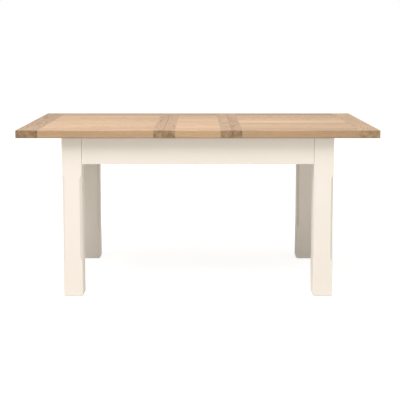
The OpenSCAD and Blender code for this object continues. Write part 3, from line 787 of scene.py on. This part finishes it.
def screw_surface(name, head, direction, head_radius, head_height, shank_radius, length):
    """A pan-head screw: shank, flat underside, round edge and a domed head with a cross recess.

    The recess is where the head's height falls: a ring point lies in it when it is within half the
    slot's width of either of two crossed lines.
    """
    out = np.linspace(0, math.pi / 2, 6)
    rows = [(0.0004, length), (shank_radius * 0.55, length), (shank_radius, length * 0.86),
            (shank_radius, 0.0), (head_radius, 0.0)]
    rows += [(head_radius * (0.72 + 0.28 * math.cos(a)), -head_height * (0.35 + 0.60 * math.sin(a)))
             for a in out]
    radius = np.repeat([[r] for r, _ in rows], AROUND, axis=1)
    height = np.repeat([[h] for _, h in rows], AROUND, axis=1)
    inner = np.linspace(head_radius * 0.66, head_radius * 0.04, 7)
    angle = np.linspace(0, 2 * math.pi, AROUND, endpoint=False)
    across = inner[:, None] * np.minimum(abs(np.sin(angle)), abs(np.cos(angle)))[None, :]
    slot = (across < head_radius * 0.13) & (inner[:, None] < head_radius * 0.62)
    dome = -head_height * (0.95 + 0.05 * (1 - (inner / head_radius) ** 2))[:, None]
    recess = head_height * 0.55 * (1.1 - inner / head_radius)[:, None]
    radius = np.vstack([radius, np.repeat(inner[:, None], AROUND, axis=1)])
    height = np.vstack([height, dome + slot * recess])
    side, up = basis(direction)
    ring = np.cos(angle)[:, None] * side + np.sin(angle)[:, None] * up
    loops = head + radius[..., None] * ring + height[..., None] * np.asarray(direction, float)
    return skin(name, loops)


def make_screws(node, body):
    """Every screw of a CAD node, along the longest side of its own solid.

    A level screw has its head towards the middle of the table, and an upright one has it below.
    """
    meshes = []
    for corners in solids(node):
        low, high = corners.min(axis=0), corners.max(axis=0)
        axis = int(np.argmax(high - low))
        across = (axis + 1) % 3
        middle = (low + high) / 2
        head_radius = (high - low)[across] / 2
        way = 1.0 if axis == 2 else float(np.sign(middle[axis]))
        direction = np.zeros(3)
        direction[axis] = way
        tip, back = (high, low) if way > 0 else (low, high)
        length = abs(tip[axis] - back[axis])
        at_tip = np.abs(corners[:, axis] - tip[axis]) < NEAR
        shank_radius = np.ptp(corners[at_tip][:, across]) / 2
        at_rim = np.abs(corners[:, across] - middle[across]) > head_radius * 0.98
        head_height = np.ptp(corners[at_rim][:, axis])
        seat = middle.copy()
        seat[axis] = back[axis] + way * head_height
        meshes.append(screw_surface("screw", seat, direction, head_radius, head_height,
                                    shank_radius, length - head_height))
    return piece(merged(node + "_zinc", meshes), body, zinc, node)


make_screws("guide_rail_screws", "frame")
make_screws("block_screws", "frame")
for side in ("left", "right"):
    make_screws(side + "_slider_screws", side + "_top")
    make_screws(side + "_batten_screws", side + "_top")
make_screws("leaf_batten_screws", "leaf")


def corner_pieces(node):
    """Each solid of a node that has one at every corner: its points, its middle and the way out."""
    for corners in solids(node):
        middle = (corners.min(axis=0) + corners.max(axis=0)) / 2
        outward = np.array([np.sign(middle[0]), np.sign(middle[1]), 0.0]) / math.sqrt(2)
        yield corners, middle, outward


def make_bolts():
    """A rod with a helical thread.

    Its radius rises and falls once for each pitch along the rod and once for each turn round it.
    """
    meshes = []
    for corners, middle, outward in corner_pieces("hanger_bolts"):
        reach = (corners - middle) @ outward
        start, end = reach.min(), reach.max()
        radius = np.ptp(corners[:, 2]) / 2
        threaded = np.arange(start + 0.0008, start + THREAD_LENGTH, THREAD_PITCH / 6)
        tail = [threaded[-1] + 0.0003, end - 0.001, end]
        height = np.concatenate([[start, start + 0.0004], threaded, tail])
        angle = np.linspace(0, 1, AROUND, endpoint=False)
        phase = height[:, None] / THREAD_PITCH - angle[None, :]
        wave = np.abs((phase % 1.0) * 2 - 1)
        rings = radius - THREAD_DEPTH * wave
        rings[:2] = np.array([[radius * 0.72], [radius * 0.86]])
        rings[-3:] = np.array([[radius], [radius], [radius * 0.8]])
        meshes.append(skin("bolt", turned(middle, outward, rings, height)))
    return piece(merged("hanger_bolts_zinc", meshes), "frame", zinc, "hanger_bolts")


def ring_surface(name, middle, direction, outside, inside, half):
    """A ring with a hole: out over one face, round the rim, back over the other and through the hole.

    outside is the rim's radius at each point round, on rows from one face to the other.
    """
    rows = outside.shape[0]
    rim = np.linspace(-half, half, rows)
    bore = np.full((1, outside.shape[1]), inside)
    loops = turned(middle, direction, np.vstack([bore, outside, bore, bore]),
                   np.concatenate([[-half], rim, [half], [-half]]))
    count = outside.shape[1]
    here = np.arange(count)
    after = np.roll(here, -1)
    base = (np.arange(rows + 1) * count)[:, None]
    quads = [base + here, base + after, base + after + count, base + here + count]
    faces = np.stack(quads, axis=-1).reshape(-1, 4)
    back = (rows + 1) * count
    faces = np.vstack([faces, np.stack([back + here, back + after, after, here], axis=-1)])
    mesh = bpy.data.meshes.new(name)
    mesh.from_pydata(loops[:-1].reshape(-1, 3).tolist(), [], faces.tolist())
    mesh.update()
    return mesh


def make_washers():
    """Flat washers, with the edges of the rim rounded."""
    meshes = []
    for corners, middle, outward in corner_pieces("bolt_washers"):
        half = np.ptp((corners - middle) @ outward) / 2
        radius = np.ptp(corners[:, 2]) / 2
        profile = radius - WASHER_ROUND * np.abs(np.linspace(-1, 1, 5)) ** 3
        rim = np.repeat(profile[:, None], AROUND * 2, axis=1)
        meshes.append(ring_surface("washer", middle, outward, rim, WASHER_BORE, half))
    return piece(merged("bolt_washers_zinc", meshes), "frame", zinc, "bolt_washers")


def make_nuts():
    """Hexagon nuts. The rim's radius is that of a hexagon, cut back near both faces by a 30 degree cone."""
    meshes = []
    for corners, middle, outward in corner_pieces("bolt_nuts"):
        half = np.ptp((corners - middle) @ outward) / 2
        point = np.ptp(corners[:, 2]) / 2
        angle = np.linspace(0, 2 * math.pi, AROUND * 2, endpoint=False)
        flat = point * math.cos(math.pi / 6)
        hexagon = flat / np.cos((angle + math.pi / 6) % (math.pi / 3) - math.pi / 6)
        rows = np.linspace(-half, half, 9)
        cone = flat * 1.01 + (half - np.abs(rows)) * math.sqrt(3)
        outline = np.minimum(hexagon[None, :], cone[:, None])
        meshes.append(ring_surface("nut", middle, outward, outline, NUT_BORE, half))
    return piece(merged("bolt_nuts_zinc", meshes), "frame", zinc, "bolt_nuts")


make_bolts()
make_washers()
make_nuts()


# ---- Slide pads and foot glides ----
# The top runs on thin nylon pads along the aprons, and each leg stands on a nailed nylon glide.
# Both are moulded, dark grey and slightly rough.

NYLON = (0.085, 0.080, 0.075, 1.0)
NYLON_RUBBED = (0.140, 0.135, 0.125, 1.0)
GLIDE_EDGE = 0.0004
GLIDE_ROLL = 0.0012


def nylon_material():
    """Dark moulded nylon with a fine texture, paler where it has rubbed."""
    material, n, shader = new_material("nylon")
    place = n.add("ShaderNodeTexCoord").outputs["Object"]
    rub = n.noise(place, 90.0, 3.0, 0.6)
    join(n, n.mix(n.ranged(rub, 0.4, 0.7), NYLON, NYLON_RUBBED), shader.inputs["Base Color"])
    join(n, n.ranged(rub, 0.3, 0.7, 0.50, 0.66, smooth=False), shader.inputs["Roughness"])
    fine = n.noise(place, 1800.0, 2.0, 0.5)
    join(n, n.bump(fine, strength=0.2, depth=0.0002), shader.inputs["Normal"])
    return material


nylon = nylon_material()
dress("slide_pads", nylon)


def make_glides():
    """Glides: a nail carried down to a shallow dome with a rolled edge."""
    meshes = []
    for corners in solids("foot_glides"):
        low, high = corners.min(axis=0), corners.max(axis=0)
        middle = np.array([(low[0] + high[0]) / 2, (low[1] + high[1]) / 2, 0.0])
        nail = corners[corners[:, 2] > high[2] - NEAR]
        nail_radius = np.ptp(nail[:, 0]) / 2
        radius = (high[0] - low[0]) / 2
        rim = cad["leg_front_left"][0][2]
        turn = np.linspace(0, math.pi / 2, 6)
        roll = GLIDE_ROLL
        rows = [(nail_radius * 0.3, high[2]), (nail_radius, high[2] - 0.002),
                (nail_radius, rim), (radius - GLIDE_EDGE, rim), (radius, rim - GLIDE_EDGE)]
        rows += [(radius - roll + roll * math.cos(a), roll - roll * math.sin(a)) for a in turn]
        rings = np.repeat([[r] for r, _ in rows], AROUND * 2, axis=1)
        meshes.append(skin("glide", turned(middle, (0, 0, 1), rings, [h for _, h in rows])))
    return piece(merged("foot_glides_nylon", meshes), "frame", nylon, "foot_glides")


make_glides()


# ---- Floor, backdrop and light ----
# A white studio: a wide pale floor that runs off into a white surround, a large soft light high in
# front and to the left, a weaker one low on the right, and an even fill from all round.

FLOOR_HALF = 14.0
FLOOR_BASE = (0.72, 0.72, 0.67, 1.0)
FLOOR_GLOW = (0.95, 0.95, 1.0, 1.0)
GLOW_STRENGTH = 0.75
FILL = (0.980, 1.0, 0.920, 1.0)
FILL_STRENGTH = 0.44
WHITE = (1.0, 1.0, 1.0, 1.0)
floor_mesh = bpy.data.meshes.new("floor")
floor_mesh.from_pydata([(-FLOOR_HALF, -FLOOR_HALF, 0), (FLOOR_HALF, -FLOOR_HALF, 0),
                        (FLOOR_HALF, FLOOR_HALF, 0), (-FLOOR_HALF, FLOOR_HALF, 0)], [], [(0, 1, 2, 3)])
floor = bpy.data.objects.new("floor", floor_mesh)
bpy.context.collection.objects.link(floor)


def shown(n):
    """1 for the rays that show a thing, from the camera, off gloss or through glass. 0 for the rest."""
    path = n.add("ShaderNodeLightPath").outputs
    mirrored = n.math("MAXIMUM", path["Is Glossy Ray"], path["Is Transmission Ray"])
    return n.math("MAXIMUM", path["Is Camera Ray"], mirrored)


def floor_material():
    """A pale matt floor. The rays that show it find a little glow on it, which lifts it to white."""
    material, n, shader = new_material("floor")
    shader.inputs["Base Color"].default_value = FLOOR_BASE
    shader.inputs["Roughness"].default_value = 0.9
    shader.inputs["Specular IOR Level"].default_value = 0.1
    glow = n.add("ShaderNodeEmission", {"Color": FLOOR_GLOW, "Strength": GLOW_STRENGTH})
    both = n.add("ShaderNodeAddShader", {0: shader.outputs[0], 1: glow.outputs[0]})
    chosen = n.add("ShaderNodeMixShader", {0: shown(n), 1: shader.outputs[0], 2: both.outputs[0]})
    output = next(node for node in n.tree.nodes if node.type == "OUTPUT_MATERIAL")
    join(n, chosen.outputs[0], output.inputs[0])
    return material


floor_mesh.materials.append(floor_material())

world = bpy.data.worlds.new("studio")
bpy.context.scene.world = world
world.use_nodes = True
w = Nodes(world.node_tree)
w.tree.nodes.clear()
fill = w.add("ShaderNodeBackground", {"Color": FILL, "Strength": FILL_STRENGTH})
white = w.add("ShaderNodeBackground", {"Color": WHITE, "Strength": 1.0})
surround = w.add("ShaderNodeMixShader", {0: shown(w), 1: fill.outputs[0], 2: white.outputs[0]})
w.add("ShaderNodeOutputWorld", {0: surround.outputs[0]})


def soft_light(name, place, target, size, power, colour):
    """A rectangular soft light at a place, turned to face a target."""
    data = bpy.data.lights.new(name, "AREA")
    data.shape = "RECTANGLE"
    data.size, data.size_y = size
    data.energy = power
    data.color = colour
    lamp = bpy.data.objects.new(name, data)
    lamp.location = place
    away = np.array(place) - np.array(target)
    lamp.rotation_euler = (math.acos(away[2] / np.linalg.norm(away)), 0.0,
                           math.atan2(away[1], away[0]) + math.pi / 2)
    bpy.context.collection.objects.link(lamp)


soft_light("key", place=(-1.2, -1.95, 4.3), target=(0.0, -0.2, 0.5), size=(3.2, 2.4),
           power=206.0, colour=(1.0, 0.955, 0.990))
soft_light("front_fill", place=(2.6, -4.0, 1.0), target=(0.2, 0.0, 0.5), size=(2.6, 1.6),
           power=33.0, colour=(1.0, 0.99, 0.97))

bpy.context.scene.view_settings.view_transform = "Standard"
